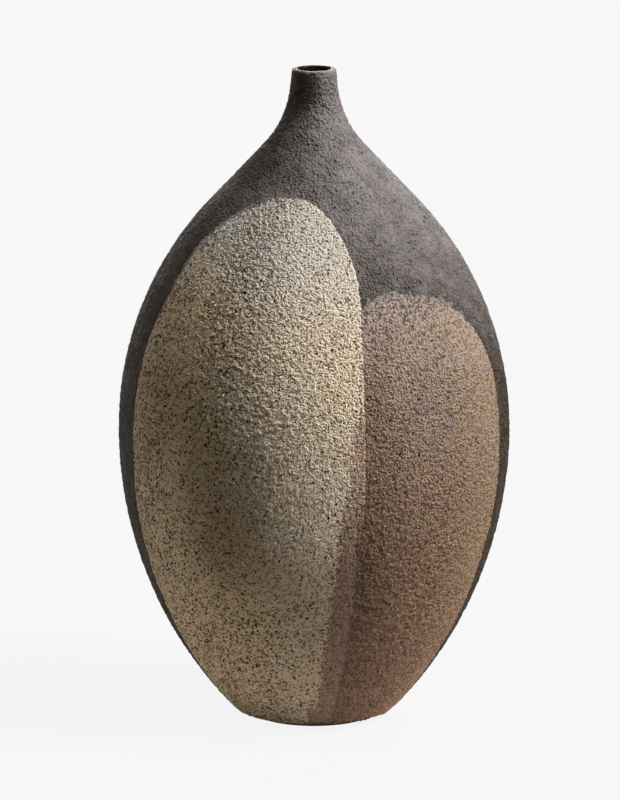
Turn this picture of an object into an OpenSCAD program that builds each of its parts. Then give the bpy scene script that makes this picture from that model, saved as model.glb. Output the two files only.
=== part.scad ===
// Tall narrow-necked earthenware vase, thrown on the wheel in four sections.
// The sections are luted together with slip, lined with a glossy glaze, coated
// outside with a rough dark glaze, and poured with two large glaze lobes.
// Millimetres, +Z up, origin at the centre of the standing ring. The front is -Y.

/* [Body] */
// Height from the standing ring to the top of the lip
height = 500; // [440:5:600]
// Radius at the widest point, over the dark glaze
belly_r = 149; // [130:1:175]
// Height of the widest point
belly_z = 223; // [190:1:260]
// Straight stretch of the shoulder between the belly's curve and the neck's flare
shoulder_len = 59; // [45:1:72]
// Thickness of the fired clay wall
wall_t = 6; // [4:0.5:8]

/* [Foot] */
// Outer radius of the standing ring
foot_r = 46; // [38:1:56]
// Width of the standing ring
ring_w = 11; // [8:0.5:16]
// How far the belly's curve tucks in under the outer edge of the ring
ring_tuck = 5; // [3.5:0.5:7]
// Bevel at the outer edge of the ring
ring_bevel = 0.6; // [0.3:0.1:0.8]
// Radius of the curve from the foot into the belly
foot_round = 35; // [28:1:44]
// Depth of the turned recess under the floor
recess_h = 3.5; // [2:0.5:6]
// Slope of the recess wall, measured across the foot
recess_slope = 1.5; // [0.5:0.5:3]
// Thickness of the floor
floor_t = 8.5; // [6:0.5:11]
// Radius of the curve from the floor into the wall, inside
cove_r = 30; // [24:1:38]

/* [Neck] */
// Radius of the mouth, inside the liner glaze
bore_r = 12.3; // [10:0.1:16]
// Width of the lip, glazes included
lip_w = 5.1; // [4.5:0.1:7]
// Rounding of the lip
lip_r = 2.2; // [1.8:0.1:2.2]
// Straight stretch of the neck below the lip
neck_len = 11; // [6:1:16]
// Taper of the straight stretch, in degrees
neck_taper = 5; // [2:1:8]
// Radius of the flare from the neck into the shoulder, outside
flare_r = 76; // [62:1:92]
// Radius of the flare from the mouth into the shoulder, inside
throat_r = 40; // [28:1:50]

/* [Glazes] */
// Thickness of the dark ground glaze
ground_t = 1.2; // [0.6:0.1:1.4]
// Thickness of the pale glaze lobe over the ground
pale_t = 0.9; // [0.5:0.1:1.5]
// Thickness of the rust glaze lobe over the ground
rust_t = 0.7; // [0.5:0.1:1.5]
// Thickness of the liner glaze inside
liner_t = 0.5; // [0.3:0.1:0.8]
// Where the ground glaze stops on the foot curve, in degrees from straight down
ground_line = 24; // [20:1:30]
// Where the lobes stop on the foot curve, in degrees from straight down
lobe_line = 30; // [25:1:40]

/* [Pale lobe] */
// Direction that the pale lobe faces, in degrees from the front, positive to the right
pale_turn = -24.6; // [-60:0.1:0]
// Half of the pale lobe's spread round the belly, in degrees
pale_half = 40.7; // [30:0.1:50]
// Distance from the lip down to the top of the pale lobe
pale_drop = 88; // [78:1:120]
// Height of the pale lobe's arched top
pale_arch = 65; // [50:1:90]

/* [Rust lobe] */
// Direction that the rust lobe faces, in degrees from the front, positive to the right
rust_turn = 33.7; // [25:0.1:60]
// Half of the rust lobe's spread round the belly, in degrees
rust_half = 36.6; // [30:0.1:45]
// Distance from the lip down to the top of the rust lobe
rust_drop = 152.5; // [140:0.5:190]
// Height of the rust lobe's arched top
rust_arch = 80; // [60:1:110]

/* [Seams] */
// Thickness of the slip between two thrown sections
slip_t = 0.8; // [0.5:0.1:1.5]
// Depth of the tongue that one section presses into the groove of the next
tongue_h = 2.2; // [1:0.1:3.5]

/* [Hidden] */
$fn = 120;

// Place of the base seam along the foot curve and of the neck seam along the flare
base_seam_share = 0.85;
neck_seam_share = 0.8;
// The tongue's point lies at this share of the wall, and the cut reaches past the thickest wall
tongue_share = 0.5;
seam_reach_share = 2;
// Squareness of the lobes' arched tops: 2 is an ellipse, more is squarer
pale_square = 2.5;
rust_square = 2;
// Largest turn from one point to the next on a big curve and on the lip, in degrees
arc_step = 4;
lip_step = 18;
// Steps along a lobe's side and along its arched top, and how the side's steps crowd to the foot
side_steps = 14;
arch_steps = 12;
side_crowd = 1.6;
// How far a cut runs past what it cuts
overrun = 1;

clay_colour = [0.45, 0.31, 0.24];
slip_colour = [0.56, 0.41, 0.33];
liner_colour = [0.09, 0.08, 0.08];
ground_colour = [0.30, 0.27, 0.26];
pale_colour = [0.62, 0.58, 0.46];
rust_colour = [0.50, 0.37, 0.29];

// A point at an angle on a circle round c, in the plane of radius and height
function on_arc(c, r, a) = [c[0] + r * cos(a), c[1] + r * sin(a)];

// Points along an arc from angle a to angle b, with a itself only where it is asked for
function arc(c, r, a, b, step = arc_step, start = 1) =
    let (n = max(2, ceil(abs(b - a) / step)))
    [for (i = [start:n]) on_arc(c, r, a + (b - a) * i / n)];

function reversed(points) = [for (i = [len(points) - 1:-1:0]) points[i]];

// The outside, from the lip down. Every stretch is an arc or a line that runs
// tangent into the next one. The lip's rounding comes first.
neck_r = bore_r + lip_w;
lip_c = [neck_r - lip_r, height - lip_r];
neck_top = on_arc(lip_c, lip_r, neck_taper);
neck_end = [neck_top[0] + neck_len * sin(neck_taper), neck_top[1] - neck_len * cos(neck_taper)];
flare_c = on_arc(neck_end, flare_r, neck_taper);

// The belly above the widest point: its centre lies at the height of the widest
// point, and its radius leaves a straight shoulder of the given length
flare_in = flare_c[0] - belly_r;
flare_up = flare_c[1] - belly_z;
upper_r = (flare_in * flare_in + flare_up * flare_up - flare_r * flare_r - shoulder_len * shoulder_len)
    / (2 * (flare_r - flare_in));
upper_c = [belly_r - upper_r, belly_z];
shoulder_a = atan2(flare_up, flare_c[0] - upper_c[0]) - atan2(shoulder_len, upper_r + flare_r);

// The belly below the widest point, tangent to the foot's curve
foot_c = [foot_r - ring_tuck, foot_round];
foot_in = foot_c[0] - belly_r;
foot_down = belly_z - foot_round;
lower_r = (foot_round * foot_round - foot_in * foot_in - foot_down * foot_down)
    / (2 * (foot_in + foot_round));
lower_c = [belly_r - lower_r, belly_z];
lower_a = atan2(-foot_down, foot_c[0] - lower_c[0]);

// The inside, parallel to the outside on the belly and the shoulder
clay_bore_r = bore_r + liner_t;
inside = ground_t + wall_t;
floor_z = recess_h + floor_t;
cove_up = floor_z + cove_r - belly_z;
cove_out = lower_r - inside - cove_r;
cove_c = [lower_c[0] + sqrt(cove_out * cove_out - cove_up * cove_up), floor_z + cove_r];
cove_a = atan2(cove_up, cove_c[0] - lower_c[0]);
shoulder_in = on_arc(upper_c, upper_r - inside, shoulder_a);
throat_x = clay_bore_r + throat_r;
throat_c = [throat_x, shoulder_in[1]
    + (throat_r - (throat_x - shoulder_in[0]) * cos(shoulder_a)) / sin(shoulder_a)];

// Outer surface moved out by d, from an angle on the foot's curve up over the outer half of the lip
function skin(d, from) = concat(
    arc(foot_c, foot_round + d, from, lower_a, start = 0),
    arc(lower_c, lower_r + d, lower_a, 0),
    arc(upper_c, upper_r + d, 0, shoulder_a),
    arc(flare_c, flare_r - d, 180 + shoulder_a, 180 + neck_taper, start = 0),
    arc(lip_c, lip_r + d, neck_taper, 90, step = lip_step, start = 0));

// Inner half of the lip, from its crown down to the bore
function inner_lip(bore, r) = arc([bore + r, height - lip_r], r, 90, 180, step = lip_step, start = 0);

// Inner surface of the clay moved in by d, from the axis up to the mouth
function hollow(d) = concat(
    [[0, floor_z + d]],
    arc(cove_c, cove_r - d, -90, cove_a, start = 0),
    arc(lower_c, lower_r - inside - d, cove_a, 0),
    arc(upper_c, upper_r - inside - d, 0, shoulder_a),
    arc(throat_c, throat_r + d, 180 + shoulder_a, 180, start = 0),
    [[clay_bore_r - d, height - lip_r]]);

// Radius of the outer surface at a height below the straight neck
shoulder_low = on_arc(upper_c, upper_r, shoulder_a);
shoulder_top = on_arc(flare_c, flare_r, 180 + shoulder_a);
lower_low = on_arc(lower_c, lower_r, lower_a);
function round_x(c, r, z) = sqrt(max(0, r * r - (z - c[1]) * (z - c[1])));
function radius_at(z) =
    z < lower_low[1] ? foot_c[0] + round_x(foot_c, foot_round, z)
    : z < belly_z ? lower_c[0] + round_x(lower_c, lower_r, z)
    : z < shoulder_low[1] ? upper_c[0] + round_x(upper_c, upper_r, z)
    : z < shoulder_top[1] ? shoulder_low[0] - (z - shoulder_low[1]) * tan(shoulder_a)
    : flare_c[0] - round_x(flare_c, flare_r, z);

// Section of the fired clay, from the lip down over the outside to the recessed underside
ring_a = -acos(ring_tuck / (foot_round - ground_t));
module clay_section() {
    polygon(concat(
        skin(-ground_t, ring_a),
        inner_lip(clay_bore_r, lip_r - ground_t),
        reversed(hollow(0)),
        [[0, recess_h],
         [foot_r - ring_w - recess_slope, recess_h],
         [foot_r - ring_w, 0],
         [foot_r - ring_bevel, 0],
         [foot_r, ring_bevel]]));
}

// A seam crosses the wall square to its face: a point on the clay's outside and the angle of the face
base_seam_a = -90 + base_seam_share * (90 + lower_a);
neck_seam_a = neck_taper + neck_seam_share * (shoulder_a - neck_taper);
base_seam = [on_arc(foot_c, foot_round - ground_t, base_seam_a), base_seam_a];
belly_seam = [[belly_r - ground_t, belly_z], 0];
neck_seam = [on_arc(flare_c, flare_r + ground_t, 180 + neck_seam_a), neck_seam_a];

// Everything below a seam, with the seam moved up along the wall by d
module below(seam, d) {
    out = [cos(seam[1]), sin(seam[1])];
    up = [-sin(seam[1]), cos(seam[1])];
    edge = seam[0] + overrun * out + d * up;
    point = seam[0] - tongue_share * wall_t * out + (d - tongue_h) * up;
    deep = seam[0] - seam_reach_share * wall_t * out + d * up;
    polygon([edge, point, deep, [0, deep[1]], [0, -overrun],
             [belly_r + overrun, -overrun], [belly_r + overrun, edge[1]]]);
}

// Slip that fills a seam from face to face
module slip_ring(seam) {
    color(slip_colour)
    rotate_extrude()
    difference() {
        intersection() {
            clay_section();
            below(seam, slip_t / 2);
        }
        below(seam, -slip_t / 2);
    }
}

// One thrown section of wall between two seams
module wall_section(low_seam, high_seam) {
    color(clay_colour)
    rotate_extrude()
    difference() {
        intersection() {
            clay_section();
            below(high_seam, -slip_t / 2);
        }
        below(low_seam, slip_t / 2);
    }
}

// Floor of the vase, with the turned recess and the bare standing ring
module base() {
    color(clay_colour)
    rotate_extrude()
    intersection() {
        clay_section();
        below(base_seam, -slip_t / 2);
    }
}

// Bowl from the foot up to the widest point
module lower_wall() {
    wall_section(base_seam, belly_seam);
}

// Domed upper half, collared in towards the neck
module upper_wall() {
    wall_section(belly_seam, neck_seam);
}

// Collar with the flare, the mouth and the rounded lip
module neck() {
    color(clay_colour)
    rotate_extrude()
    difference() {
        clay_section();
        below(neck_seam, slip_t / 2);
    }
}

module base_slip() {
    slip_ring(base_seam);
}

module belly_slip() {
    slip_ring(belly_seam);
}

module neck_slip() {
    slip_ring(neck_seam);
}

// Glossy glaze over the whole inside, up to the lip
module liner_glaze() {
    color(liner_colour)
    rotate_extrude()
    polygon(concat(hollow(liner_t), reversed(hollow(0))));
}

// Rough dark glaze from just above the foot up over the lip
module ground_glaze() {
    color(ground_colour)
    rotate_extrude()
    polygon(concat(
        skin(0, ground_line - 90),
        inner_lip(bore_r, lip_r),
        reversed(inner_lip(clay_bore_r, lip_r - ground_t)),
        reversed(skin(-ground_t, ground_line - 90))));
}

// One side of a lobe, seen square on, from the foot up to the crown of its arch.
// The side keeps its spread in degrees as the vase narrows, and the arch closes it.
function lobe_side(half, top_z, arch_h, square) =
    let (side_z = top_z - arch_h)
    concat(
        [for (i = [0:side_steps]) let (z = side_z * pow(i / side_steps, side_crowd))
            [radius_at(z) * sin(half), z]],
        [for (i = [1:arch_steps]) let (a = 90 * i / arch_steps,
                                       z = side_z + arch_h * pow(sin(a), 2 / square))
            [radius_at(z) * sin(half * pow(cos(a), 2 / square)), z]]);

// Everything behind a lobe's outline, from the axis out past the belly
module lobe_block(turn, half, drop, arch_h, square) {
    side = lobe_side(half, height - drop, arch_h, square);
    rotate([0, 0, turn])
    rotate([90, 0, 0])
    linear_extrude(height = belly_r + pale_t + rust_t + overrun)
    polygon(concat(
        [[side[0][0], -overrun]],
        side,
        [for (i = [len(side) - 2:-1:0]) [-side[i][0], side[i][1]]],
        [[-side[0][0], -overrun]]));
}

module pale_block() {
    lobe_block(pale_turn, pale_half, pale_drop, pale_arch, pale_square);
}

module rust_block() {
    lobe_block(rust_turn, rust_half, rust_drop, rust_arch, rust_square);
}

// Even coat over the ground glaze, from the foot to the end of the flare
module coat(t) {
    rotate_extrude()
    polygon(concat(skin(t, lobe_line - 90), reversed(skin(0, lobe_line - 90))));
}

// Pale ash-grey lobe, poured over the ground glaze
module pale_glaze() {
    color(pale_colour)
    intersection() {
        coat(pale_t);
        pale_block();
    }
}

// Rust-brown lobe, poured beside the pale one and stopped against its edge
module rust_glaze() {
    color(rust_colour)
    difference() {
        intersection() {
            coat(rust_t);
            rust_block();
        }
        pale_block();
    }
}

base();
lower_wall();
upper_wall();
neck();
base_slip();
belly_slip();
neck_slip();
liner_glaze();
ground_glaze();
pale_glaze();
rust_glaze();
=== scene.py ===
import itertools
import math

import bpy
import numpy as np
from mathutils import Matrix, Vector, noise


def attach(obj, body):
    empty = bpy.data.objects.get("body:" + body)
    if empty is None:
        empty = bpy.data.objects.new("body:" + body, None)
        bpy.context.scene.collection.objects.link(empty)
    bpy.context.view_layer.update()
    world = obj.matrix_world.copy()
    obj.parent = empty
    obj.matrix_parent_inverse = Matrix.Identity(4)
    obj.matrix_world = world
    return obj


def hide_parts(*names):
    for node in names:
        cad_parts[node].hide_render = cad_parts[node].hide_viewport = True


# A tall thrown earthenware vase with a rough dark glaze and two poured glaze lobes.
# Metres, +Z up, origin at the centre of the standing ring. The front is -Y.
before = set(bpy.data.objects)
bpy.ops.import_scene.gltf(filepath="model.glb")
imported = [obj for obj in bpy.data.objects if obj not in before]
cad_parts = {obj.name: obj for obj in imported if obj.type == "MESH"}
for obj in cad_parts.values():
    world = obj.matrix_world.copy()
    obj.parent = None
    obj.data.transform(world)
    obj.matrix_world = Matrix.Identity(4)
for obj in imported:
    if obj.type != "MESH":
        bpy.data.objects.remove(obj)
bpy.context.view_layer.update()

# Fired clay: the base, the two halves of the wall and the neck.
# Coarse red-brown earthenware with fine grog, thrown on the wheel in four sections.
# It is bare only at the standing ring and in the recess turned under the floor.
MM = 0.001
CLAY_BROWN = "#7d5744"
CLAY_BURNT = "#5b3f33"
CLAY_GROG = "#a98a70"
TURNING_MARK = 1.6 * MM


def linear(hex_colour):
    """Linear RGBA of an sRGB hex colour."""
    parts = [int(hex_colour[i:i + 2], 16) / 255 for i in (1, 3, 5)]
    return [p / 12.92 if p <= 0.04045 else ((p + 0.055) / 1.055) ** 2.4 for p in parts] + [1]


def add(tree, kind, inputs=None, **settings):
    """Adds a node with its properties and inputs. A node given as an input links its first output."""
    made = tree.nodes.new("ShaderNode" + kind)
    for name, value in settings.items():
        setattr(made, name, value)
    for socket, value in (inputs or {}).items():
        if isinstance(value, bpy.types.Node):
            value = value.outputs[0]
        if isinstance(value, bpy.types.NodeSocket):
            tree.links.new(value, made.inputs[socket])
        else:
            made.inputs[socket].default_value = value
    return made


def new_material(name):
    """A material with an empty node tree."""
    material = bpy.data.materials.new(name)
    material.use_nodes = True
    material.node_tree.nodes.clear()
    return material, material.node_tree


# Bisque-fired earthenware is matt and open-pored, scorched darker in patches,
# with pale grains of grog and the fine rings that the turning tool left underneath.
earthenware, tree = new_material("bisque_earthenware")
place = add(tree, "TexCoord").outputs["Object"]
scorch = add(tree, "TexNoise", {"Vector": place, "Scale": 1 / (14 * MM), "Detail": 4})
body = add(tree, "MixRGB", {"Fac": scorch, "Color1": linear(CLAY_BROWN), "Color2": linear(CLAY_BURNT)})
grog = add(tree, "TexVoronoi", {"Vector": place, "Scale": 1 / (1.8 * MM)})
is_grog = add(tree, "MapRange", {"Value": grog, "From Min": 0.24, "From Max": 0.16})
colour = add(tree, "MixRGB", {"Fac": is_grog, "Color1": body, "Color2": linear(CLAY_GROG)})
flat_place = add(tree, "Mapping", {"Vector": place, "Scale": (1, 1, 0)})
out_from_axis = add(tree, "VectorMath", {0: flat_place}, operation="LENGTH").outputs["Value"]
turns = add(tree, "Math", {0: out_from_axis, 1: math.tau / TURNING_MARK}, operation="MULTIPLY")
turned = add(tree, "Math", {0: turns}, operation="SINE")
pores = add(tree, "TexNoise", {"Vector": place, "Scale": 1 / (0.9 * MM), "Detail": 3})
rough_face = add(tree, "Math", {0: turned, 1: 0.15, 2: pores}, operation="MULTIPLY_ADD")
bump = add(tree, "Bump", {"Height": rough_face, "Distance": 0.35 * MM, "Strength": 0.8})
shader = add(tree, "BsdfPrincipled", {"Base Color": colour, "Roughness": 0.88, "IOR": 1.5,
                                      "Normal": bump})
add(tree, "OutputMaterial", {"Surface": shader})
for name in ("base", "lower_wall", "upper_wall", "neck"):
    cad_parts[name].material_slots[0].material = earthenware

# Slip: the thin liquid clay that lutes one thrown section to the next.
# It is the same clay sieved fine, so it fires a shade paler and has no grog.
# It shows nowhere on the finished vase.
SLIP_BUFF = "#9c735c"
SLIP_SHADE = "#8a6450"

# Slip fires matt and close, a shade paler than the clay, with soft marks of the brush.
fired_slip, tree = new_material("fired_clay_slip")
place = add(tree, "TexCoord").outputs["Object"]
brushed = add(tree, "TexNoise", {"Vector": place, "Scale": 1 / (5 * MM), "Detail": 3})
colour = add(tree, "MixRGB", {"Fac": brushed, "Color1": linear(SLIP_BUFF), "Color2": linear(SLIP_SHADE)})
bump = add(tree, "Bump", {"Height": brushed, "Distance": 0.2 * MM, "Strength": 0.5})
shader = add(tree, "BsdfPrincipled", {"Base Color": colour, "Roughness": 0.8, "IOR": 1.5,
                                      "Normal": bump})
add(tree, "OutputMaterial", {"Surface": shader})
for name in ("base_slip", "belly_slip", "neck_slip"):
    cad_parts[name].material_slots[0].material = fired_slip

# Liner: a glossy, nearly black glaze poured in and out again before the outside was glazed.
# It covers the whole inside up to the lip, and it makes the vase hold water.
# The potter's throwing rings show through it as low, soft ridges.
LINER_BLACK = "#17110f"
LINER_BROWN = "#2a1a12"
THROWING_RING = 5 * MM

# A glossy black glaze gives sharp highlights inside the lip, and looks brown where it runs thin.
liner_glaze, tree = new_material("glossy_black_liner_glaze")
place = add(tree, "TexCoord").outputs["Object"]
pooled = add(tree, "TexNoise", {"Vector": place, "Scale": 1 / (12 * MM), "Detail": 2})
colour = add(tree, "MixRGB", {"Fac": pooled, "Color1": linear(LINER_BLACK), "Color2": linear(LINER_BROWN)})
up = add(tree, "SeparateXYZ", {0: place}).outputs["Z"]
phase = add(tree, "Math", {0: up, 1: math.tau / THROWING_RING}, operation="MULTIPLY")
rings = add(tree, "Math", {0: phase}, operation="SINE")
soft_rings = add(tree, "Math", {0: rings, 1: 0.3, 2: pooled}, operation="MULTIPLY_ADD")
bump = add(tree, "Bump", {"Height": soft_rings, "Distance": 0.4 * MM, "Strength": 0.5})
shader = add(tree, "BsdfPrincipled", {"Base Color": colour, "Roughness": 0.12, "IOR": 1.52,
                                      "Normal": bump})
add(tree, "OutputMaterial", {"Surface": shader})
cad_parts["liner_glaze"].material_slots[0].material = liner_glaze

# Ground glaze: a dry, warm-charcoal glaze sprayed thick over the whole outside and the lip.
# It shrank into low pebbly bumps as it fired, strongest on the neck. It stops just above the ring.
# The outline is a chain of arcs that run tangent into each other, worked out from these sizes.
HEIGHT = 500 * MM
BELLY_R = 149 * MM
BELLY_Z = 223 * MM
SHOULDER_LEN = 59 * MM
FOOT_R = 46 * MM
RING_TUCK = 5 * MM
FOOT_ROUND = 35 * MM
BORE_R = 12.3 * MM
LIP_W = 5.1 * MM
LIP_R = 2.2 * MM
NECK_LEN = 11 * MM
NECK_TAPER = math.radians(5)
FLARE_R = 76 * MM
GROUND_T = 1.2 * MM
GROUND_LINE = math.radians(24)
GROUND_SUNK = 0.55 * MM
GROUND_PEBBLE = 3.1 * MM
GROUND_RELIEF = 0.7 * MM
HAND_SWELL = 0.2 * MM
GROUND_GRAIN = 3.4 * MM
GROUND_GRIT = 1.6 * MM
ARC_STEPS = 400


def on_arc(centre, radius, angle):
    """Point at an angle on a circle in the plane of radius and height."""
    return centre + radius * np.array([math.cos(angle), math.sin(angle)])


lip_c = np.array([BORE_R + LIP_W - LIP_R, HEIGHT - LIP_R])
inner_lip_c = np.array([BORE_R + LIP_R, HEIGHT - LIP_R])
neck_top = on_arc(lip_c, LIP_R, NECK_TAPER)
neck_end = neck_top + NECK_LEN * np.array([math.sin(NECK_TAPER), -math.cos(NECK_TAPER)])
flare_c = on_arc(neck_end, FLARE_R, NECK_TAPER)
flare_in = flare_c[0] - BELLY_R
flare_up = flare_c[1] - BELLY_Z
upper_r = ((flare_in ** 2 + flare_up ** 2 - FLARE_R ** 2 - SHOULDER_LEN ** 2)
           / (2 * (FLARE_R - flare_in)))
upper_c = np.array([BELLY_R - upper_r, BELLY_Z])
shoulder_a = math.atan2(flare_up, flare_c[0] - upper_c[0]) - math.atan2(SHOULDER_LEN, upper_r + FLARE_R)
foot_c = np.array([FOOT_R - RING_TUCK, FOOT_ROUND])
foot_in = foot_c[0] - BELLY_R
foot_down = BELLY_Z - FOOT_ROUND
lower_r = (FOOT_ROUND ** 2 - foot_in ** 2 - foot_down ** 2) / (2 * (foot_in + FOOT_ROUND))
lower_c = np.array([BELLY_R - lower_r, BELLY_Z])
lower_a = math.atan2(-foot_down, foot_c[0] - lower_c[0])
right_angle = math.pi / 2


def traced(arcs):
    """Distance along a chain of tangent arcs, with the point and the outward normal there."""
    points, normals = [], []
    for centre, radius, start, end in arcs:
        for angle in np.linspace(start, end, ARC_STEPS):
            points.append(on_arc(centre, radius, angle))
            normals.append([math.cos(angle), math.sin(angle)])
    points = np.array(points)
    along = np.concatenate([[0], np.cumsum(np.linalg.norm(np.diff(points, axis=0), axis=1))])
    return along, points, np.array(normals)


# From just above the ring, up over the lip and down to the bore. The flare bends the other way.
# The first four arcs end at the neck, and the fifth ends on the crown of the lip.
run, profile, facing = traced([(foot_c, FOOT_ROUND, GROUND_LINE - right_angle, lower_a),
                               (lower_c, lower_r, lower_a, 0),
                               (upper_c, upper_r, 0, shoulder_a),
                               (flare_c, -FLARE_R, shoulder_a, NECK_TAPER),
                               (lip_c, LIP_R, NECK_TAPER, right_angle),
                               (inner_lip_c, LIP_R, right_angle, math.pi)])
below_neck = slice(0, 4 * ARC_STEPS)
below_crown = slice(0, 5 * ARC_STEPS)


def on_outline(distance, azimuth, offset=0.0):
    """Points on the vase's outside, by distance up the outline and azimuth from the front."""
    radius, height = (np.interp(distance, run, profile[:, i]) for i in (0, 1))
    out, up = (np.interp(distance, run, facing[:, i]) for i in (0, 1))
    radius = radius + offset * out
    return np.stack(np.broadcast_arrays(radius * np.sin(azimuth), -radius * np.cos(azimuth),
                                        height + offset * up), axis=-1)


def grain(points, spacing, octaves=1):
    """Noise from about -1 to 1 whose bumps lie about spacing apart."""
    flat = (points.reshape(-1, 3) * (2 / spacing)).tolist()
    values = [noise.fractal(p, 1.0, 2.0, octaves) for p in flat]
    return np.array(values).reshape(points.shape[:-1])


def ease(value, low, high):
    """Goes smoothly from 0 at low to 1 at high."""
    share = np.clip((value - low) / (high - low), 0, 1)
    return share * share * (3 - 2 * share)


def hump(value, middle, width):
    """Is 1 at the middle and falls off smoothly to 0 on both sides of it."""
    return np.exp(-((value - middle) / width) ** 2)


def pebbles(points, size):
    """Rounded bumps about a size across with creases between them, from about -0.4 to 1."""
    return 1.8 * (np.abs(grain(points, 2 * size)) - 0.22)


def ground_depth(points):
    """How far the pebbly surface lies inside the outline. It stays clear of the coat's back too."""
    up = points[..., 2]
    smooth_lip = 1 - 0.75 * ease(up, 484 * MM, 498 * MM)
    bumps = pebbles(points, GROUND_PEBBLE) + 0.4 * grain(points, 2.6 * MM)
    bumps = bumps + 0.5 * ease(up, 405 * MM, 450 * MM) * grain(points, 5.5 * MM)
    hand = grain(points, 60 * MM)
    depth = GROUND_SUNK - GROUND_RELIEF * bumps * smooth_lip - HAND_SWELL * hand
    return np.clip(depth, 0.06 * MM, GROUND_T - 0.08 * MM)


def spray_and_light_share(points, azimuth):
    """How heavily the ground glaze was sprayed, 0 to 1: most on the shoulder and in patches.
    Painted light raises it on the lit right and painted shade lowers it at the front left,
    and it is lower round the neck.
    """
    up = points[..., 2]
    side = np.sin(azimuth)
    on_left = 1 - ease(np.degrees(azimuth), -3, 31)
    shoulder = 1.2 * ease(up + 45 * MM * side, 250 * MM, 460 * MM) - 0.3
    patches = 0.13 * grain(points, 38 * MM, 2)
    # Painted light and shade: lighter on the lit right, and darker in the shade at the front left.
    right = side * (0.12 + 0.3 * ease(up, 400 * MM, 440 * MM))
    left = on_left * (0.12 * ease(up, 405 * MM, 430 * MM) + 0.4 * ease(up, 455 * MM, 480 * MM))
    neck = 0.15 * hump(up, 438 * MM, 16 * MM) + 0.2 * ease(up, 465 * MM, 484 * MM)
    return np.clip(shoulder + patches + right - left - neck, 0, 1)


# The map's last column stops short of its right edge, and the outside fills most of its height.
MAP_WIDTH = 0.999
MAP_OUTSIDE = 0.96


def ring_mesh(name, rings, heights):
    """Closed skin through a loop of rings, each with as many points as the next or half or twice."""
    starts = np.cumsum([0] + [len(ring) for ring in rings])
    faces = []
    for low in range(len(rings)):
        high = (low + 1) % len(rings)
        few, many = sorted((len(rings[low]), len(rings[high])))
        i = np.arange(few)
        if few == many:
            j = (i + 1) % few
            quads = [starts[low] + i, starts[low] + j, starts[high] + j, starts[high] + i]
            faces += np.stack(quads, axis=1).tolist()
        else:
            fine, coarse = (low, high) if len(rings[low]) == many else (high, low)
            a, b, c = (starts[fine] + (2 * i + k) % many for k in (0, 1, 2))
            d, e = starts[coarse] + i, starts[coarse] + (i + 1) % few
            fans = [np.stack(t, axis=1) for t in ((a, b, d), (b, c, e), (b, e, d))]
            if fine == high:
                fans = [t[:, ::-1] for t in fans]
            faces += np.concatenate(fans).tolist()
    mesh = bpy.data.meshes.new(name)
    mesh.from_pydata(np.concatenate(rings).tolist(), [], faces)
    made = bpy.data.objects.new(name, mesh)
    bpy.context.scene.collection.objects.link(made)
    mesh.shade_smooth()
    # The map runs round the vase and up the rings. Faces across the back seam get a turn added.
    corners = np.fromiter(itertools.chain.from_iterable(faces), int)
    turn = np.concatenate([np.arange(len(ring)) / len(ring) for ring in rings])[corners]
    rise = np.repeat(heights, [len(ring) for ring in rings])[corners]
    sizes = np.array([len(face) for face in faces])
    face_of = np.repeat(np.arange(len(faces)), sizes)
    highest = np.zeros(len(faces))
    np.maximum.at(highest, face_of, turn)
    turn = turn + (highest[face_of] - turn > 0.5)
    layer = mesh.uv_layers.new(name="OFBake")
    layer.data.foreach_set("uv", np.stack([turn * MAP_WIDTH, rise], axis=1).ravel())
    return made


# How finely the coat is drawn: rows up the outline, closer over the lip, and points round a row,
# half or a quarter of them where the vase is narrow. The coat's hidden back is plain.
ROW = 1.6 * MM
LIP_ROW = 0.45 * MM
RING_POINTS = 576
HALVED_R = 50 * MM
QUARTERED_R = 28 * MM
BACK_ROWS = 130
BACK_POINTS = 72


def round_ring(count):
    """Azimuths of the points round a ring, which starts at the back."""
    return np.arange(count) * math.tau / count - math.pi


top_of_neck = np.interp(HEIGHT - LIP_R, profile[below_crown, 1], run[below_crown])
crown = run[below_crown][-1]
rings = []
relief, lined, worn, spray_and_light = [], [], [], []
for distance in [*np.arange(0, top_of_neck, ROW), *np.arange(top_of_neck, run[-1], LIP_ROW)]:
    radius = np.interp(distance, run, profile[:, 0])
    fewer = 1 if radius > HALVED_R else 2 if radius > QUARTERED_R else 4
    azimuth = round_ring(RING_POINTS // fewer)
    points = on_outline(distance, azimuth)
    inner_lip = ease(distance, crown + 1.1 * MM, crown + 2.2 * MM)
    depth = ground_depth(points) * (1 - 0.9 * inner_lip)
    relief.append(1 - depth / MM)
    lined.append(np.full(len(azimuth), inner_lip))
    spray_and_light.append(spray_and_light_share(points, azimuth))
    worn.append(hump(distance, crown, 2 * MM) * (0.8 + 0.5 * grain(points, 5 * MM)))
    rings.append(on_outline(distance, azimuth, -depth))
outer_rows = len(rings)
for distance in np.linspace(run[-1], 0, BACK_ROWS):
    rings.append(on_outline(distance, round_ring(BACK_POINTS), -GROUND_T))
rise = np.interp(np.arange(len(rings)), [0, outer_rows, len(rings)], [0, MAP_OUTSIDE, 1])
ground_coat = ring_mesh("ground_coat", rings, rise)


def keep_field(piece, name, values):
    """Stores one number per vertex for the piece's material to read."""
    field = piece.data.attributes.new(name, "FLOAT", "POINT")
    field.data.foreach_set("value", np.concatenate([np.ravel(v) for v in values]))


hidden_back = [np.zeros(BACK_POINTS)] * BACK_ROWS
for name, values in (("relief", relief), ("spray_and_light", spray_and_light), ("lined", lined), ("worn", worn)):
    keep_field(ground_coat, name, values + hidden_back)


def grains_of(tree, place, size):
    """Height of a gritty surface, about 0.5 to 1.6: round grains about a size apart, broken up."""
    grit = add(tree, "TexNoise", {"Vector": place, "Scale": 2 / size, "Detail": 1, "Roughness": 0.8})
    from_grain = add(tree, "TexVoronoi", {"Vector": place, "Scale": 1.3 / size})
    broken = add(tree, "Math", {0: grit, 1: 2.3, 2: 0.34}, operation="MULTIPLY_ADD")
    return add(tree, "Math", {0: from_grain, 1: -0.9, 2: broken}, operation="MULTIPLY_ADD")


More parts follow.
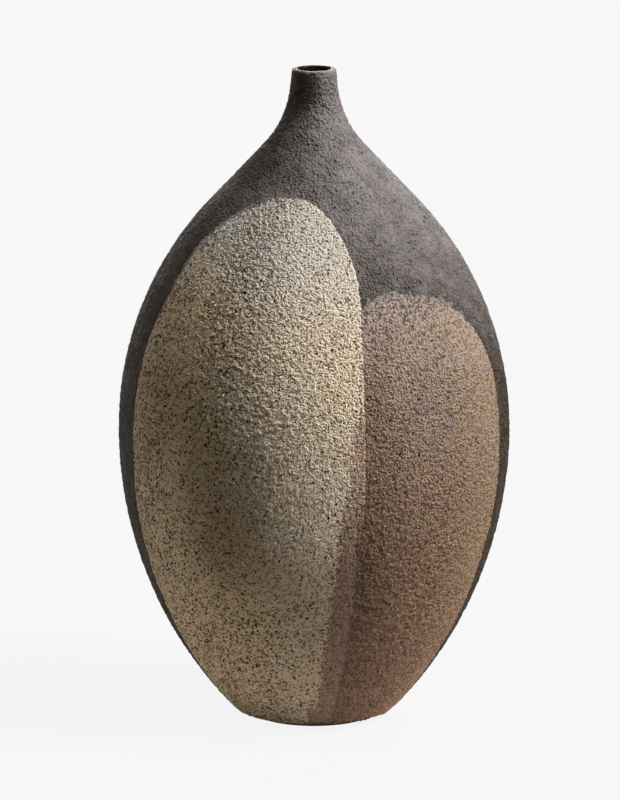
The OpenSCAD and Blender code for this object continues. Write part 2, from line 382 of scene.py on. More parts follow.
def specks(tree, place, cell, size, density):
    """Scattered round spots, one at most in each cell: 1 in a spot and 0 outside."""
    bent = add(tree, "TexNoise", {"Vector": place, "Scale": 1.5 / cell, "Detail": 1}).outputs["Color"]
    moved = add(tree, "VectorMath", {0: bent, 1: (0.9 * cell,) * 3, 2: place}, operation="MULTIPLY_ADD")
    cells = add(tree, "TexVoronoi", {"Vector": moved, "Scale": 1 / cell})
    chance = add(tree, "SeparateColor", {0: cells.outputs["Color"]})
    reach = add(tree, "Math", {0: chance.outputs[1], 1: 0.6 * size / cell, 2: 0.4 * size / cell},
                operation="MULTIPLY_ADD")
    near = add(tree, "Math", {0: cells, 1: reach}, operation="DIVIDE")
    spot = add(tree, "MapRange", {"Value": near, "From Min": 1.2, "From Max": 0.65})
    chosen = add(tree, "Math", {0: chance, 1: density}, operation="LESS_THAN")
    return add(tree, "Math", {0: spot, 1: chosen}, operation="MULTIPLY")


# A dry, underfired iron glaze is matt, with hardly any sheen: grey where it was sprayed thick and brown
# where thin, and greyer on the lit right and browner at the front left, which is painted light and shade.
# Its bumps are rounded, with painted shade in the hollows and in a few open pinholes, which look like
# dark dots. The lip's crown is worn smooth, and the glossy liner laps over its inner half.
GROUND_BROWN = "#483d33"
GROUND_GREY = "#807976"
GROUND_HOLLOW_SHADE = "#2e2823"
GROUND_WORN = "#847d77"
dry_charcoal, tree = new_material("dry_charcoal_glaze")
place = add(tree, "TexCoord").outputs["Object"]
relief, worn, lined, spray_and_light = (add(tree, "Attribute", attribute_name=name).outputs["Fac"]
                                for name in ("relief", "worn", "lined", "spray_and_light"))
tone = add(tree, "MixRGB", {"Fac": spray_and_light, "Color1": linear(GROUND_BROWN), "Color2": linear(GROUND_GREY)})
fine = grains_of(tree, place, GROUND_GRAIN)
level = add(tree, "Math", {0: relief, 1: 0.7, 2: fine}, operation="MULTIPLY_ADD")
# Painted shade: the hollows between the bumps are darkened.
hollow_shade = add(tree, "MapRange", {"Value": level, "From Min": 1.35, "From Max": 0.8, "To Max": 0.5})
tone = add(tree, "MixRGB", {"Fac": hollow_shade, "Color1": tone, "Color2": linear(GROUND_HOLLOW_SHADE)})
pin = specks(tree, place, cell=4.2 * MM, size=1.3 * MM, density=0.3)
# Painted shade: a few open pinholes are dark inside.
pinhole_shade = add(tree, "Math", {0: pin, 1: 0.8}, operation="MULTIPLY")
tone = add(tree, "MixRGB", {"Fac": pinhole_shade, "Color1": tone, "Color2": linear(GROUND_HOLLOW_SHADE)})
tone = add(tree, "MixRGB", {"Fac": worn, "Color1": tone, "Color2": linear(GROUND_WORN)})
tone = add(tree, "MixRGB", {"Fac": lined, "Color1": tone, "Color2": linear(LINER_BLACK)})
sunk = add(tree, "Math", {0: pin, 1: -0.4, 2: fine}, operation="MULTIPLY_ADD")
patch = add(tree, "TexNoise", {"Vector": place, "Scale": 1 / (13 * MM), "Detail": 2})
uneven = add(tree, "MapRange", {"Value": patch, "From Min": 0.38, "From Max": 0.64, "To Min": 0.55,
                                "To Max": 1.45})
thinner = add(tree, "MapRange", {"Value": spray_and_light, "To Min": 1.7, "To Max": 0.76})
coarse = add(tree, "Math", {0: uneven, 1: thinner}, operation="MULTIPLY")
smooth = add(tree, "MapRange", {"Value": lined, "To Min": coarse, "To Max": 0.0})
raised = add(tree, "Math", {0: sunk, 1: smooth}, operation="MULTIPLY")
bump = add(tree, "Bump", {"Height": raised, "Distance": GROUND_GRIT, "Strength": 1.0})
gloss = add(tree, "MapRange", {"Value": lined, "To Min": 0.6, "To Max": 0.2})
shader = add(tree, "BsdfPrincipled", {"Base Color": tone, "Roughness": gloss, "IOR": 1.5,
                                      "Specular IOR Level": 0.06, "Normal": bump})
add(tree, "OutputMaterial", {"Surface": shader})
ground_coat.data.materials.append(dry_charcoal)
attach(ground_coat, "root")
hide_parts("ground_glaze")

# Pale lobe: an ash-cream glaze poured down the front left over the ground glaze.
# It crawled into coarse grains as it dried, and it lies smoother and pitted on the left.
# Its right edge is a low bead, stained and soft low down. Its top left fades out grain by grain.
PALE_T = 0.9 * MM
PALE_TURN = math.radians(-24.6)
PALE_HALF = math.radians(40.7)
PALE_TOP = HEIGHT - 88 * MM
PALE_ARCH = 65 * MM
PALE_SQUARE = 2.5
PALE_SUNK = 0.6 * MM
PALE_RISE = 0.95 * MM
PALE_PEBBLE = 2.8 * MM
PALE_RELIEF = 0.8 * MM
PALE_BEAD = 0.12 * MM
PALE_GRAIN = 2.7 * MM
PALE_GRIT = 1.2 * MM
LOBE_LINE = math.radians(30)
LOBE_WAVER = 1.2 * MM

# Both lobes are closed shells, drawn on a grid in square blocks of cells. A shell stays just inside
# its CAD glaze, and its plain back lies a little below the deepest pit. The grid starts below the
# lobe's foot, and its rows close up where the vase narrows, down to CLOSEST_ROW of the spacing.
SKIN_GAP = 0.02 * MM
LOBE_DEEPEST = 0.95 * MM
LOBE_BACK = 1.05 * MM
LOBE_GRID = 1.0 * MM
GRID_BELOW = 2 * MM
CLOSEST_ROW = 0.65
BLOCK = 4

# The lobes end a little above the ground glaze. This is how far, measured up the outline.
lobe_foot = FOOT_ROUND * (LOBE_LINE - GROUND_LINE)


def lobe_grid(turn, half, top, margin):
    """Distances and azimuths of a fine grid that covers a lobe, in whole blocks of square cells."""
    def count(length):
        return BLOCK * math.ceil(length / (BLOCK * LOBE_GRID)) + 1
    reach = np.interp(top, profile[below_neck, 1], run[below_neck]) + margin
    span = half + margin / (0.8 * BELLY_R)
    width = np.interp(np.arange(0, reach, MM), run, profile[:, 0]) / BELLY_R
    fine_rows = np.concatenate([[0], np.cumsum(1 / np.maximum(width, CLOSEST_ROW))])
    share = np.linspace(0, fine_rows[-1], count(fine_rows[-1] * MM))
    distance = lobe_foot - GRID_BELOW + np.interp(share, fine_rows, np.arange(len(fine_rows))) * MM
    azimuth = np.linspace(turn - span, turn + span, count(2 * span * BELLY_R))
    return np.meshgrid(distance, azimuth, indexing="ij")


def pale_lean(height):
    """How far the pale lobe leans to the right, in azimuth: it ran a little askew."""
    return np.radians(-1.8 + 0.65 * ease(height, 165 * MM, 215 * MM)
                      + 2.05 * ease(height, 262 * MM, 375 * MM)
                      + 5 * np.clip((height - 365 * MM) / (47 * MM), 0, 1) ** 2)


# In the middle of a lobe the distance in from its outline isn't needed exactly, and is held to this.
FURTHEST_IN = 80 * MM


def inside_arch(azimuth, distance, turn, half, top, arch, square):
    """Distance in from a lobe's outline, an arched top over straight sides. Negative outside it."""
    radius, height = (np.interp(distance, run, profile[:, i]) for i in (0, 1))
    steep = np.interp(distance, run, facing[:, 0])
    across = np.abs(azimuth - turn) / half
    above = np.clip(height - (top - arch), 0, None) / arch
    level = 1 - across ** square - above ** square
    slope = np.hypot(square * across ** (square - 1) / (half * radius),
                     square * above ** (square - 1) * steep / arch)
    return level / np.maximum(slope, 1 / FURTHEST_IN)


def above_foot(distance, points):
    """Distance up from the lobes' lower edge, which wavers a little."""
    return distance - lobe_foot - LOBE_WAVER * grain(points, 14 * MM, 2)


def kept_blocks(edge, feather):
    """Which blocks of the grid a lobe needs, with some to spare where its edge fades out."""
    rows, columns = edge.shape[0] // BLOCK, edge.shape[1] // BLOCK
    nearest = edge[:-1, :-1].reshape(rows, BLOCK, columns, BLOCK).max(axis=(1, 3))
    return nearest > -(3 + 6 * feather[:-1:BLOCK, :-1:BLOCK]) * MM


# The map's left part is for a shell's front, and the narrow strip at its right for the back.
FRONT_WIDTH = 0.94
STRIP_START = 0.95
STRIP_WIDTH = 0.045


def poured_shell(name, distance, azimuth, offset, kept):
    """Closed shell on a grid: a fine front, a coarse hidden back, and a face down each open side."""
    front = on_outline(distance, azimuth, offset)
    back = on_outline(distance[::BLOCK, ::BLOCK], azimuth[::BLOCK, ::BLOCK], -LOBE_BACK)
    rows, columns = distance.shape
    number = np.arange(rows * columns).reshape(rows, columns)
    under = rows * columns + np.arange(back.shape[0] * back.shape[1]).reshape(back.shape[:2])
    open_round = np.pad(kept, 1)
    fronts, hidden = [], []
    for i, j in zip(*np.nonzero(kept)):
        patch = number[i * BLOCK:(i + 1) * BLOCK + 1, j * BLOCK:(j + 1) * BLOCK + 1]
        low = under[i:i + 2, j:j + 2]
        fronts.append(np.stack([patch[:-1, :-1], patch[:-1, 1:], patch[1:, 1:], patch[1:, :-1]],
                               axis=-1).reshape(-1, 4))
        hidden.append([low[0, 0], low[1, 0], low[1, 1], low[0, 1]])
        sides = ((-1, 0, patch[0, ::-1], low[0]), (0, 1, patch[::-1, -1], low[:, 1]),
                 (1, 0, patch[-1], low[1, ::-1]), (0, -1, patch[:, 0], low[::-1, 0]))
        for up, right, rim, edge in sides:
            if not open_round[i + 1 + up, j + 1 + right]:
                hidden.append([*rim, *edge])
    fronts = np.concatenate(fronts)
    faces = fronts.tolist() + [[int(v) for v in face] for face in hidden]
    used, renumbered = np.unique(list(itertools.chain.from_iterable(faces)), return_inverse=True)
    sizes = np.cumsum([0] + [len(face) for face in faces])
    loops = renumbered.tolist()
    faces = [loops[a:b] for a, b in zip(sizes, sizes[1:])]
    mesh = bpy.data.meshes.new(name)
    mesh.from_pydata(np.concatenate([front.reshape(-1, 3), back.reshape(-1, 3)])[used].tolist(), [], faces)
    made = bpy.data.objects.new(name, mesh)
    bpy.context.scene.collection.objects.link(made)
    mesh.shade_smooth()
    share = [np.repeat(np.arange(rows) / rows, columns), np.tile(np.arange(columns) / columns, rows)]
    deep = [np.repeat(np.arange(back.shape[0]) / back.shape[0], back.shape[1]),
            np.tile(np.arange(back.shape[1]) / back.shape[1], back.shape[0])]
    rise, turn = (np.concatenate([s, d])[used][renumbered] for s, d in zip(share, deep))
    shown = np.arange(len(turn)) < fronts.size
    layer = mesh.uv_layers.new(name="OFBake")
    turn = np.where(shown, turn * FRONT_WIDTH, STRIP_START + turn * STRIP_WIDTH)
    layer.data.foreach_set("uv", np.stack([turn, rise], axis=1).ravel())
    return made, used, rows * columns


def keep_grid_field(piece, name, values, used, front_size):
    """Stores one number per vertex of a poured shell, with 0 on its hidden back."""
    flat = np.concatenate([values.ravel(), np.zeros(max(used) + 1 - front_size)])
    keep_field(piece, name, [flat[used]])


# Places on a lobe are given by height and by degrees from the front, positive to the right.
distance, azimuth = lobe_grid(PALE_TURN, PALE_HALF, PALE_TOP, 12 * MM)
points = on_outline(distance, azimuth)
height = points[..., 2]
degrees = np.degrees(azimuth)
lean = pale_lean(height)

# Where the lobe ends: its outline wavers with the pour, and is drawn in where the top left fades.
edge = inside_arch(azimuth - lean, distance, PALE_TURN, PALE_HALF, PALE_TOP, PALE_ARCH, PALE_SQUARE)
feather = ease(height, 300 * MM, 365 * MM) * ease(-degrees, 8, 34)
edge = edge + (0.6 + 1.6 * feather) * MM * grain(points, 11 * MM, 3)
edge = edge - 4 * MM * ease(-degrees, 22, 42) * ease(height, 300 * MM, 345 * MM)
edge = np.minimum(edge, above_foot(distance, points))
soft = ease(-height, -205 * MM, -150 * MM) * ease(degrees, -12, -4)
width = (1.8 + 9 * feather + 5 * soft) * MM

# How it stands up: most crawled a little left of its middle, calm at the far left and low down.
calm = np.maximum(ease(-degrees, 36, 56), ease(-height, -170 * MM, -90 * MM) * ease(-degrees, -8, 20))
rough = 0.8 + 1.05 * hump(degrees, -27, 15) * (1 - calm) - 0.3 * calm
relief = pebbles(points, PALE_PEBBLE) + 0.35 * grain(points, 2.4 * MM) + 0.4 * grain(points, 6 * MM)
rise = ease(edge, -width / 2, width / 2)
bead = PALE_BEAD * hump(edge, 2.2 * MM, 1.3 * MM) * (1 - feather) * (1 - soft)
offset = (-0.4 * ground_depth(points) - PALE_SUNK + PALE_RISE * rise + bead
          + PALE_RELIEF * relief * np.minimum(rough, 1.3) * (0.2 + 0.8 * np.maximum(rise, soft)))
offset = np.clip(offset, -LOBE_DEEPEST, PALE_T - SKIN_GAP)
pale_lobe, used, front_size = poured_shell("pale_lobe", distance, azimuth, offset,
                                           kept_blocks(edge, feather))

# Where its colour changes: a rosy band down the lower part of its right edge, tan on the left, dull
# low down on the right, ochre where iron came up, browner left of its middle with a smudge and
# painted shade, ashen beside that, and pitted where it lies calm or thin.
gap = (9 * ease(-height, -290 * MM, -240 * MM) - 4 + 1.2 * ease(-height, -225 * MM, -180 * MM)
       + 0.055 * np.clip(208 - height / MM, 0, None) + 5 * ease(-height, -45 * MM, -8 * MM))
radius = np.hypot(points[..., 0], points[..., 1])
cream = ease(edge - np.radians(gap) * radius + 2.5 * MM * grain(points, 12 * MM, 2), -9 * MM, 9 * MM)
cream = np.maximum(cream, ease(-degrees, 2, 6))
cover = np.maximum(ease(edge, -1 * MM, (1 + 8 * feather) * MM), ease(degrees, -6, 2))
stained = soft * ease(-edge, -6 * MM, -1 * MM)
patchy = grain(points, 34 * MM, 3)
tan = np.clip(ease(-degrees, 14, 44) * ease(-height, -400 * MM, -310 * MM) + 0.2 * patchy, 0, 1)
low = np.clip(ease(-height, -200 * MM, -110 * MM) * ease(degrees, -44, -22) + 0.2 * patchy, 0, 1)
# Partly a brown smudge and partly painted shade, left of the middle where the light from the right dies
# away.
smudge_and_shade = (hump(degrees, -27, 15) * hump(height, 150 * MM, 85 * MM)
          + 0.9 * hump(degrees, -50, 12) * hump(height, 262 * MM, 45 * MM)
          + 0.6 * hump(degrees, -42, 12) * ease(-height, -130 * MM, -70 * MM))
smudge_and_shade = np.clip(smudge_and_shade + 0.2 * patchy, 0, 1)
ochre = (hump(degrees, -29, 6) * (0.25 * hump(height, 365 * MM, 18 * MM) + hump(height, 232 * MM, 30 * MM))
         + 0.5 * hump(degrees, 5, 7) * hump(height, 275 * MM, 28 * MM)
         + 0.8 * hump(degrees, -38, 5) * hump(height, 333 * MM, 12 * MM))
ochre = np.clip(ochre + 0.3 * grain(points, 22 * MM, 2), 0, 1)
ashen = hump(degrees, -18, 5) * (0.2 * hump(height, 328 * MM, 22 * MM)
                                 + 0.3 * hump(height, 225 * MM, 45 * MM))
ashen = np.clip(ashen + 0.25 * grain(points, 26 * MM, 2) + 0.2 * grain(points, 8 * MM), 0, 1)
thin_left = ease(-degrees, 14, 34) * ease(-height, -375 * MM, -320 * MM)
holes = np.clip(np.maximum(2.2 - 2.5 * rough, 0.5 * thin_left), 0, 1)
fields = {"relief": 0.5 + relief, "cream": cream, "cover": cover, "tan": tan, "low": low,
          "smudge_and_shade": smudge_and_shade, "rough": rough, "ochre": ochre, "ashen": ashen, "stained": stained,
          "holes": holes}
for name, values in fields.items():
    keep_grid_field(pale_lobe, name, values, used, front_size)


def dissolve(tree, share, grains, low, high):
    """Changes from one colour to the other grain by grain, so no edge is a drawn line."""
    pushed = add(tree, "Math", {0: grains, 1: 0.7, 2: share}, operation="MULTIPLY_ADD")
    shown = add(tree, "MapRange", {"Value": pushed, "From Min": 0.68, "From Max": 1.05})
    return add(tree, "MixRGB", {"Fac": shown, "Color1": low, "Color2": high})


# A dry ash glaze is chalky and matt. Its grains are cream on top and warm brown in the hollows,
# which painted shade deepens. Where it burst open, the pits show the dark glaze below, made nearly
# black with painted shade. It turns tan where it lies thin, rosy over the rust glaze, ochre where
# iron came up through it, and grey where the ash lies thick. Browner patches left of its middle are
# partly a smudge and partly painted shade. Its smoother parts show more brown between the grains,
# and more open pits.
PALE_CREAM = "#e6d3b8"
PALE_ASH = "#cdc5bb"
PALE_TAN = "#eacda5"
PALE_LOW = "#bba588"
PALE_SMUDGE_AND_SHADE = "#c9ac85"
PALE_HOLLOW_BROWN_AND_SHADE = "#3c2c1a"
PALE_PIT_GLAZE_AND_SHADE = "#35261a"
PALE_ROSE = "#bd9f8a"
PALE_THIN = "#8f7563"
PALE_OCHRE = "#c09c62"
PALE_STAIN = "#6b5444"
PALE_HAZE = "#9c9490"
ash_cream, tree = new_material("dry_ash_cream_glaze")
place = add(tree, "TexCoord").outputs["Object"]
up = add(tree, "SeparateXYZ", {0: place}).outputs["Z"]
relief, rough, cream, cover, stained, holes, ashen, ochre = (
    add(tree, "Attribute", attribute_name=name).outputs["Fac"]
    for name in ("relief", "rough", "cream", "cover", "stained", "holes", "ashen", "ochre"))
fine = grains_of(tree, place, PALE_GRAIN)
level = add(tree, "Math", {0: relief, 1: 0.3, 2: fine}, operation="MULTIPLY_ADD")
grains = add(tree, "MapRange", {"Value": level, "From Min": 0.75, "From Max": 1.55})
high_up = add(tree, "MapRange", {"Value": up, "From Min": 300 * MM, "From Max": 400 * MM},
              interpolation_type="SMOOTHSTEP")
tone = add(tree, "MixRGB", {"Fac": high_up, "Color1": linear(PALE_CREAM), "Color2": linear(PALE_ASH)})
for name, shade in (("tan", PALE_TAN), ("low", PALE_LOW), ("smudge_and_shade", PALE_SMUDGE_AND_SHADE)):
    share = add(tree, "Attribute", attribute_name=name).outputs["Fac"]
    tone = add(tree, "MixRGB", {"Fac": share, "Color1": tone, "Color2": linear(shade)})
haze = add(tree, "Math", {0: ashen, 1: 0.5}, operation="MULTIPLY")
tone = add(tree, "MixRGB", {"Fac": haze, "Color1": tone, "Color2": linear(PALE_HAZE)})
fleck = add(tree, "TexNoise", {"Vector": place, "Scale": 1 / (2.2 * MM), "Detail": 2})
fleck = add(tree, "MapRange", {"Value": fleck, "From Min": 0.45, "From Max": 0.6, "To Max": 0.75})
iron = add(tree, "Math", {0: ochre, 1: fleck}, operation="MULTIPLY")
tone = add(tree, "MixRGB", {"Fac": iron, "Color1": tone, "Color2": linear(PALE_OCHRE)})
rosy = add(tree, "MapRange", {"Value": up, "From Min": 140 * MM, "From Max": 215 * MM})
thin = add(tree, "MixRGB", {"Fac": rosy, "Color1": linear(PALE_THIN), "Color2": linear(PALE_ROSE)})
tone = dissolve(tree, cream, grains, thin, tone)
tone = add(tree, "MixRGB", {"Fac": stained, "Color1": tone, "Color2": linear(PALE_STAIN)})
bare = add(tree, "MapRange", {"Value": cream, "To Min": 0.85, "To Max": 1.0})
# Painted shade deepens the warm brown in the hollows between the grains.
filled_to = add(tree, "MapRange", {"Value": rough, "From Min": 0.52, "From Max": 0.82, "To Min": 1.2,
                                   "To Max": 1.08})
hollow_brown_and_shade = add(tree, "MapRange", {"Value": level, "From Min": filled_to, "From Max": 0.75, "To Max": 0.72})
shown = add(tree, "Math", {0: hollow_brown_and_shade, 1: bare}, operation="MULTIPLY")
tone = add(tree, "MixRGB", {"Fac": shown, "Color1": tone, "Color2": linear(PALE_HOLLOW_BROWN_AND_SHADE)})
crowd = add(tree, "TexNoise", {"Vector": place, "Scale": 1 / (7 * MM), "Detail": 2})
crowded = add(tree, "MapRange", {"Value": crowd, "From Min": 0.35, "From Max": 0.6})
many = add(tree, "Math", {0: crowded, 1: holes}, operation="MULTIPLY")
hole = specks(tree, place, cell=2.3 * MM, size=1.35 * MM, density=many)
few = add(tree, "MapRange", {"Value": rough, "From Min": 0.52, "From Max": 0.82, "To Min": 0.5,
                             "To Max": 0.15})
pinhole = specks(tree, place, cell=1.7 * MM, size=0.95 * MM, density=few)
pitted = add(tree, "Math", {0: hole, 1: pinhole}, operation="MAXIMUM")
opened = add(tree, "Math", {0: pitted, 1: bare}, operation="MULTIPLY")
# The open pits show the dark glaze below, made nearly black with painted shade.
tone = add(tree, "MixRGB", {"Fac": opened, "Color1": tone, "Color2": linear(PALE_PIT_GLAZE_AND_SHADE)})
tone = dissolve(tree, cover, grains, linear(GROUND_GREY), tone)
sunk = add(tree, "Math", {0: pitted, 1: -0.4, 2: fine}, operation="MULTIPLY_ADD")
raised = add(tree, "Math", {0: sunk, 1: rough}, operation="MULTIPLY")
bump = add(tree, "Bump", {"Height": raised, "Distance": PALE_GRIT, "Strength": 1.0})
shader = add(tree, "BsdfPrincipled", {"Base Color": tone, "Roughness": 0.85, "IOR": 1.45,
                                      "Specular IOR Level": 0.08, "Normal": bump})
add(tree, "OutputMaterial", {"Surface": shader})
pale_lobe.data.materials.append(ash_cream)
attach(pale_lobe, "root")
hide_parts("pale_glaze")

# Rust lobe: an iron-brown glaze poured down the front right before the pale one.
# It lies thinner and finer than the pale lobe, which laps over its left edge.
RUST_T = 0.7 * MM
RUST_TURN = math.radians(33.7)
RUST_HALF = math.radians(36.6)
RUST_TOP = HEIGHT - 152.5 * MM
RUST_ARCH = 80 * MM
RUST_SQUARE = 2
RUST_SUNK = 0.55 * MM
RUST_RISE = 0.75 * MM
RUST_PEBBLE = 3.2 * MM
RUST_RELIEF = 0.85 * MM
RUST_GRAIN = 3.1 * MM
RUST_GRIT = 1.35 * MM
OVERLAP = 4 * MM

distance, azimuth = lobe_grid(RUST_TURN, RUST_HALF, RUST_TOP, 10 * MM)
points = on_outline(distance, azimuth)
height = points[..., 2]
degrees = np.degrees(azimuth)
lean = pale_lean(height)

# Where the lobe ends: under the pale one's edge, and at an arched top whose right side sits low.
beside = OVERLAP - inside_arch(azimuth - lean, distance, PALE_TURN, PALE_HALF, PALE_TOP, PALE_ARCH,
                               PALE_SQUARE)
narrow = np.radians(1.5) * ease(-height, -190 * MM, -120 * MM)
edge = inside_arch(azimuth + narrow, distance, RUST_TURN, RUST_HALF, RUST_TOP, RUST_ARCH, RUST_SQUARE)
feather = ease(height, 290 * MM, 335 * MM)
edge = edge + (0.7 + 2.5 * feather) * MM * grain(points, 10 * MM, 3)
edge = edge - 4.5 * MM * hump(degrees, 43, 13) * ease(height, 315 * MM, 345 * MM)
edge = np.minimum(np.minimum(edge, above_foot(distance, points)), beside)
width = (2 + 8 * feather) * MM

# How it stands up: smoother towards the right, at the top and near the foot.
relief = pebbles(points, RUST_PEBBLE) + 0.4 * grain(points, 2.6 * MM) + 0.4 * grain(points, 6.5 * MM)
rough = (1.2 - 0.5 * ease(degrees, 40, 66) - 0.1 * ease(-height, -190 * MM, -80 * MM)
         - 0.4 * ease(height, 270 * MM, 325 * MM))
rise = ease(edge, -width / 2, width / 2)
offset = (-0.5 * ground_depth(points) - RUST_SUNK + RUST_RISE * rise
          + RUST_RELIEF * relief * rough * (0.2 + 0.8 * rise))
offset = np.clip(offset, -LOBE_DEEPEST, RUST_T - SKIN_GAP)
rust_lobe, used, front_size = poured_shell("rust_lobe", distance, azimuth, offset,
                                           kept_blocks(edge, feather))

# Where its colour changes: redder low down, darker beside the pale lobe, partly a darker brown and
# partly painted shade, and yellow in patches.
cover = ease(edge, -width / 2, width / 2 + 1 * MM) * (1 - 0.42 * feather)
low = ease(-height, -330 * MM, -120 * MM)
far = np.clip(beside - OVERLAP, 0, None)
# Painted shade, with a darker brown: the side by the pale lobe, away from the key lamp, is darker.
shade = 0.4 + 0.35 * hump(height, 130 * MM, 50 * MM)
shade = shade * hump(far, 0, 22 * MM) * ease(-height, -340 * MM, -250 * MM)
shade = np.clip(shade + 0.2 * grain(points, 28 * MM, 2), 0, 1)
yellowed = np.clip(0.45 + 0.8 * grain(points, 30 * MM, 2) + 0.55 * grain(points, 9 * MM)
                   + 0.35 * ease(degrees, 30, 60), 0, 1) * (1 - 0.6 * ease(-height, -130 * MM, -50 * MM))
fields = {"relief": 0.5 + relief, "cover": cover, "low": low, "shade": shade, "yellowed": yellowed,
          "rough": rough}
for name, values in fields.items():
    keep_grid_field(rust_lobe, name, values, used, front_size)

# A dry iron wash is matt and finely grained: rose-brown on its tops and darker between them, with
# painted shade in the hollows. It is greyer where it thins out at the top, redder towards the foot,
# ochre in patches and darker beside the pale lobe, partly a darker brown and partly painted shade,
# with a few grains of pale sand.
RUST_ROSE = "#a7938a"
RUST_RED = "#9a7560"
RUST_OCHRE = "#a28b6d"
RUST_DARK_AND_SHADE = "#6e5542"
RUST_HOLLOW_SHADE = "#2c1d14"
RUST_SAND = "#c9a880"
iron_rust, tree = new_material("dry_iron_rust_glaze")
place = add(tree, "TexCoord").outputs["Object"]
relief, rough, cover, low, shade, yellowed = (
    add(tree, "Attribute", attribute_name=name).outputs["Fac"]
    for name in ("relief", "rough", "cover", "low", "shade", "yellowed"))
fine = grains_of(tree, place, RUST_GRAIN)
level = add(tree, "Math", {0: relief, 1: 0.5, 2: fine}, operation="MULTIPLY_ADD")
grains = add(tree, "MapRange", {"Value": level, "From Min": 0.85, "From Max": 1.6})
tone = add(tree, "MixRGB", {"Fac": low, "Color1": linear(RUST_ROSE), "Color2": linear(RUST_RED)})
some = add(tree, "Math", {0: yellowed, 1: 0.7}, operation="MULTIPLY")
tone = add(tree, "MixRGB", {"Fac": some, "Color1": tone, "Color2": linear(RUST_OCHRE)})
tone = add(tree, "MixRGB", {"Fac": shade, "Color1": tone, "Color2": linear(RUST_DARK_AND_SHADE)})
sand = specks(tree, place, cell=6 * MM, size=1.1 * MM, density=0.1)
tone = add(tree, "MixRGB", {"Fac": sand, "Color1": tone, "Color2": linear(RUST_SAND)})
tone = dissolve(tree, cover, grains, linear(GROUND_GREY), tone)
# Painted shade: the hollows between the grains are darkened.
hollow_shade = add(tree, "MapRange", {"Value": level, "From Min": 1.45, "From Max": 0.75, "To Max": 0.65})
tone = add(tree, "MixRGB", {"Fac": hollow_shade, "Color1": tone, "Color2": linear(RUST_HOLLOW_SHADE)})
raised = add(tree, "Math", {0: fine, 1: rough}, operation="MULTIPLY")
bump = add(tree, "Bump", {"Height": raised, "Distance": RUST_GRIT, "Strength": 1.0})
shader = add(tree, "BsdfPrincipled", {"Base Color": tone, "Roughness": 0.8, "IOR": 1.5,
                                      "Specular IOR Level": 0.12, "Normal": bump})
add(tree, "OutputMaterial", {"Surface": shader})
rust_lobe.data.materials.append(iron_rust)
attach(rust_lobe, "root")
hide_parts("rust_glaze")

# Studio: a seamless sheet of pale paper, a broad key lamp at the right and a weak fill high up.
# The lit backdrop glows from behind, and the table throws some light back up from the left.
# The sheet casts no shadow of its own, so the light from below reaches the vase.
FLOOR_R = 9.0
PAPER_WHITE = "#f7f7f7"
PAPER_GLOW = 0.95
PAPER_SHADE = 0.03
NEAR_BOUNCE = 0.8
FAR_BOUNCE = 0.08
NEAR_TO = 0.1
FAR_FROM = 0.42
WORLD_LIGHT = 0.03
CAMERA_LENS = 355.0
CAMERA_SENSOR = 36.0
CAMERA_BACK = 6.0
CAMERA_DOWN = math.radians(11.83)
CAMERA_AIM = Vector((-0.0031, 0, 0.2441))

floor_mesh = bpy.data.meshes.new("studio_floor")
floor_mesh.from_pydata([(-FLOOR_R, -FLOOR_R, 0), (FLOOR_R, -FLOOR_R, 0), (FLOOR_R, FLOOR_R, 0),
                        (-FLOOR_R, FLOOR_R, 0)], [], [(0, 1, 2, 3)])
floor = bpy.data.objects.new("studio_floor", floor_mesh)
floor.visible_shadow = False
bpy.context.scene.collection.objects.link(floor)


def looked_at(tree):
    """1 for what the eye sees, in gloss and through glass too, and 0 for light thrown on the vase."""
    ray = add(tree, "LightPath").outputs
    mirrored = add(tree, "Math", {0: ray["Is Camera Ray"], 1: ray["Is Glossy Ray"]}, operation="MAXIMUM")
    return add(tree, "Math", {0: mirrored, 1: ray["Is Transmission Ray"]}, operation="MAXIMUM")


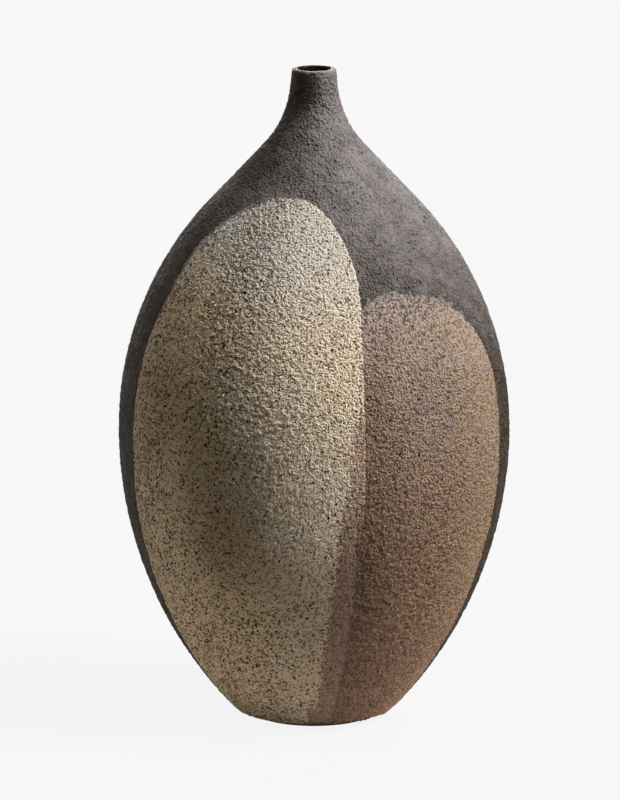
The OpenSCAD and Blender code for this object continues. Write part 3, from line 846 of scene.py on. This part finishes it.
# The eye, and metal, gloss and glass too, see the paper as nearly white with a faint shadow.
# What it throws back on the vase is weaker, and fades with the distance from the vase.
paper, tree = new_material("studio_paper")
shown = looked_at(tree)
place = add(tree, "TexCoord").outputs["Object"]
from_axis = add(tree, "VectorMath", {0: place}, operation="LENGTH").outputs["Value"]
bounce = add(tree, "MapRange", {"Value": from_axis, "From Min": NEAR_TO, "From Max": FAR_FROM,
                                "To Min": NEAR_BOUNCE, "To Max": FAR_BOUNCE})
card = add(tree, "BsdfDiffuse", {"Color": bounce})
lit = add(tree, "BsdfDiffuse", {"Color": (PAPER_SHADE, PAPER_SHADE, PAPER_SHADE, 1)})
glow = add(tree, "Emission", {"Color": linear(PAPER_WHITE), "Strength": PAPER_GLOW})
both = add(tree, "AddShader", {0: lit, 1: glow})
surface = add(tree, "MixShader", {0: shown, 1: card, 2: both})
add(tree, "OutputMaterial", {"Surface": surface})
floor_mesh.materials.append(paper)


def sun(name, azimuth, elevation, spread, level):
    """A broad soft lamp. Level 1 lights a surface that faces it so that its colour renders as written."""
    lamp = bpy.data.lights.new(name, "SUN")
    lamp.energy = level * math.pi
    lamp.angle = math.radians(spread)
    made = bpy.data.objects.new(name, lamp)
    a, e = math.radians(azimuth), math.radians(elevation)
    towards = Vector((math.sin(a) * math.cos(e), -math.cos(a) * math.cos(e), math.sin(e)))
    made.rotation_euler = towards.to_track_quat("Z", "Y").to_euler()
    bpy.context.scene.collection.objects.link(made)


sun("key", azimuth=74, elevation=46, spread=32, level=1.71)
sun("high_fill", azimuth=-30, elevation=76, spread=90, level=0.21)
sun("backdrop_glow", azimuth=180, elevation=14, spread=40, level=0.8)
sun("table_bounce", azimuth=-116, elevation=-8, spread=50, level=0.19)

# What lies beyond the paper is nearly white to the eye too, but lights the vase only faintly.
world = bpy.data.worlds.new("studio_world")
bpy.context.scene.world = world
world.use_nodes = True
tree = world.node_tree
tree.nodes.clear()
dim = add(tree, "Background", {"Color": (1, 1, 1, 1), "Strength": WORLD_LIGHT})
white = add(tree, "Background", {"Color": linear(PAPER_WHITE), "Strength": 1})
mix = add(tree, "MixShader", {0: looked_at(tree), 1: dim, 2: white})
add(tree, "OutputWorld", {"Surface": mix})

# A long lens, 6 m away, looks about 12 degrees down on the vase, as in the photo.
camera_data = bpy.data.cameras.new("camera")
camera_data.lens = CAMERA_LENS
camera_data.sensor_width = CAMERA_SENSOR
camera_data.clip_end = 50
camera = bpy.data.objects.new("camera", camera_data)
towards = Vector((0, -math.cos(CAMERA_DOWN), math.sin(CAMERA_DOWN)))
camera.location = CAMERA_AIM + CAMERA_BACK * towards
camera.rotation_euler = towards.to_track_quat("Z", "Y").to_euler()
bpy.context.scene.collection.objects.link(camera)
bpy.context.scene.camera = camera
bpy.context.scene.view_settings.view_transform = "Standard"
